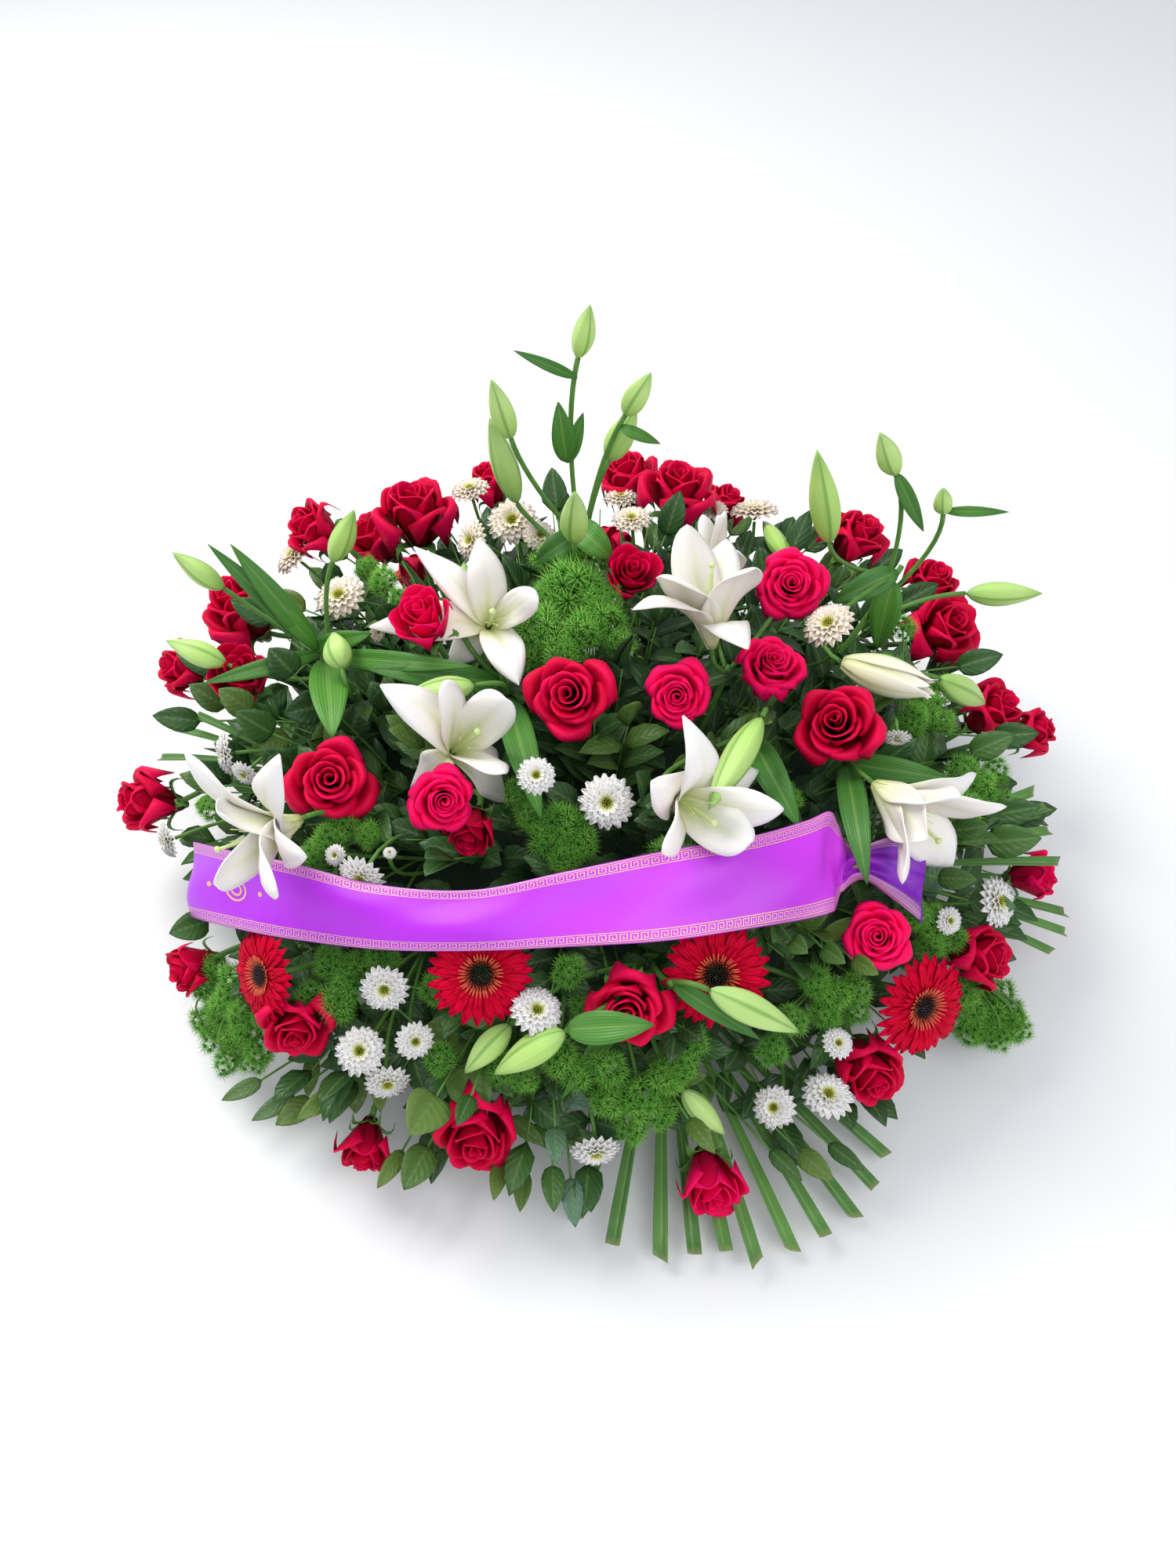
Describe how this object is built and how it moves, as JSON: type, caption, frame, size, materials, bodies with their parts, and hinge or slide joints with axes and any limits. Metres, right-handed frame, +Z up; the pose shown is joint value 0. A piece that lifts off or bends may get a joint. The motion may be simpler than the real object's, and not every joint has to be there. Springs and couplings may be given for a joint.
{
  "type": "funeral pillow arrangement",
  "caption": "Low oval mound of red roses, white lilies, gerberas, small chrysanthemums, fern, leaves and trimmed palm in floral foam on a tray, with a purple ribbon across it.",
  "frame": {"origin": "middle of the tray's underside, on the surface it rests on", "axes": "+Z up, -Y towards the front with the ribbon, +X to the right seen from the front"},
  "size_m": [0.8505, 0.772, 0.5086],
  "materials": {
    "tray": "dark green moulded plastic",
    "foam": "wet green floral foam",
    "wood": "bare wooden pick",
    "ribbon": "purple satin",
    "ribbon_gold": "gold print on satin",
    "rose": "velvety red petals",
    "rose_green": "rose stem and sepals",
    "gerbera": "red ray petals",
    "gerbera_eye": "near black eye of small florets",
    "gerbera_green": "gerbera stem and bracts",
    "lily": "cream white petals",
    "lily_green": "lily stem, buds and leaves",
    "chrysanthemum": "white florets",
    "chrysanthemum_eye": "yellow green eye of small florets",
    "chrysanthemum_green": "chrysanthemum stem",
    "leaf": "glossy dark green leaf",
    "fern": "soft green needles",
    "palm": "pleated palm leaf"
  },
  "bodies": {
    "root": {"daisies_back_left": "chrysanthemum", "daisies_back_right": "chrysanthemum", "daisies_by_ribbon": "chrysanthemum", "daisies_front_left": "chrysanthemum", "daisies_front_middle": "chrysanthemum", "daisies_front_right": "chrysanthemum", "daisies_left": "chrysanthemum", "daisies_middle": "chrysanthemum", "daisies_right": "chrysanthemum", "daisies_upper_left": "chrysanthemum", "fern_left": "fern", "fern_middle": "fern", "fern_right": "fern", "fern_top": "fern", "foam": "foam", "foliage_back": "leaf", "foliage_front": "leaf", "foliage_left": "leaf", "foliage_right": "leaf", "gerbera_far_right": "gerbera", "gerbera_left": "gerbera", "gerbera_middle": "gerbera", "gerbera_right": "gerbera", "lily_behind_right": "lily", "lily_far_left": "lily", "lily_far_right": "lily", "lily_left": "lily", "lily_opening": "lily", "lily_over_ribbon": "lily", "lily_stem_far_left": "lily_green", "lily_stem_far_right": "lily_green", "lily_stem_front": "lily_green", "lily_stem_left": "lily_green", "lily_stem_low": "lily_green", "lily_stem_middle": "lily_green", "lily_stem_right": "lily_green", "lily_stem_top": "lily_green", "lily_stem_upper_right": "lily_green", "lily_upper_left": "lily", "lily_upper_right": "lily", "palm_front": "palm", "palm_left": "palm", "palm_right": "palm", "ribbon": "ribbon", "ribbon_pick": "wood", "roses_back_left": "rose", "roses_back_right": "rose", "roses_behind": "rose", "roses_centre": "rose", "roses_centre_left": "rose", "roses_centre_right": "rose", "roses_far_right": "rose", "roses_front": "rose", "roses_front_left": "rose", "roses_left": "rose", "roses_lower_left": "rose", "roses_right": "rose", "roses_upper_left": "rose", "roses_upper_right": "rose", "tray": "tray"}
  },
  "joints": []
}
